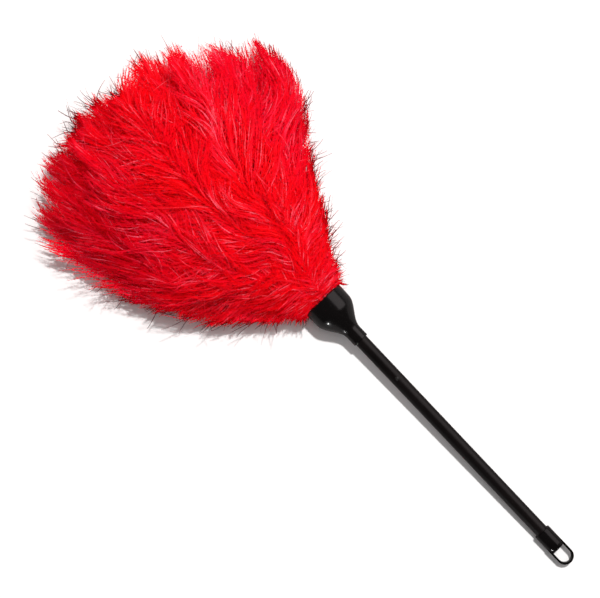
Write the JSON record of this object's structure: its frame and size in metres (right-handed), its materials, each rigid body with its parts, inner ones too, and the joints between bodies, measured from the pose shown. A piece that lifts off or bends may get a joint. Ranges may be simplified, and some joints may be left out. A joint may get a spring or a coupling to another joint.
{
  "type": "feather duster",
  "caption": "Feather duster: dyed plumes bound in tiers round a core stick, glued into a bell-shaped ferrule on a plastic tube handle with a hanging eye.",
  "frame": {"origin": "centre of the round end of the hanging eye in the end cap", "axes": "+X along the handle from the hanging eye to the plumes, +Z square to the flat faces of the eye's tongue (the full side of the head), +Y completes the right-handed set"},
  "size_m": [0.5786, 0.25, 0.0753],
  "materials": {
    "black_tube": "extruded black plastic tube, semi-gloss",
    "black_cap": "injection-moulded black plastic, gloss",
    "black_ferrule": "injection-moulded black plastic, high gloss",
    "brad_black": "blackened steel nail head",
    "core_wood": "raw turned softwood",
    "glue": "set hot-melt adhesive",
    "quill": "red-dyed feather quill",
    "binding_wire": "annealed steel wire",
    "plume_red": "dyed ostrich plume, soft barbs"
  },
  "bodies": {
    "handle": {"handle_tube": "black_tube", "end_cap": "black_cap", "ferrule": "black_ferrule", "core_dowel": "core_wood", "tube_brad": "brad_black", "glue_plug": "glue", "tier_1_quill_butts": "quill", "tier_2_quill_butts": "quill", "tier_3_quill_butts": "quill", "tier_1_binding_wire": "binding_wire", "tier_2_binding_wire": "binding_wire", "tier_3_binding_wire": "binding_wire"},
    "plumes": {"plume_1_01": "plume_red", "plume_1_02": "plume_red", "plume_1_03": "plume_red", "plume_1_04": "plume_red", "plume_1_05": "plume_red", "plume_1_06": "plume_red", "plume_1_07": "plume_red", "plume_1_08": "plume_red", "plume_1_09": "plume_red", "plume_1_10": "plume_red", "plume_2_01": "plume_red", "plume_2_02": "plume_red", "plume_2_03": "plume_red", "plume_2_04": "plume_red", "plume_2_05": "plume_red", "plume_2_06": "plume_red", "plume_2_07": "plume_red", "plume_2_08": "plume_red", "plume_2_09": "plume_red", "plume_2_10": "plume_red", "plume_2_11": "plume_red", "plume_2_12": "plume_red", "plume_2_13": "plume_red", "plume_3_01": "plume_red", "plume_3_02": "plume_red", "plume_3_03": "plume_red", "plume_3_04": "plume_red", "plume_3_05": "plume_red", "plume_3_06": "plume_red", "plume_3_07": "plume_red", "plume_3_08": "plume_red", "plume_3_09": "plume_red", "plume_3_10": "plume_red", "plume_3_11": "plume_red", "plume_3_12": "plume_red", "plume_3_13": "plume_red", "plume_3_14": "plume_red", "plume_3_15": "plume_red"}
  },
  "joints": [
    {"name": "plume_sweep", "type": "hinge", "parent": "handle", "child": "plumes", "pos_m": [0.3076, 0, 0], "axis": [0, 0, 1], "range_deg": [-15, 15], "stiffness_Nm_per_rad": 0.3}
  ]
}
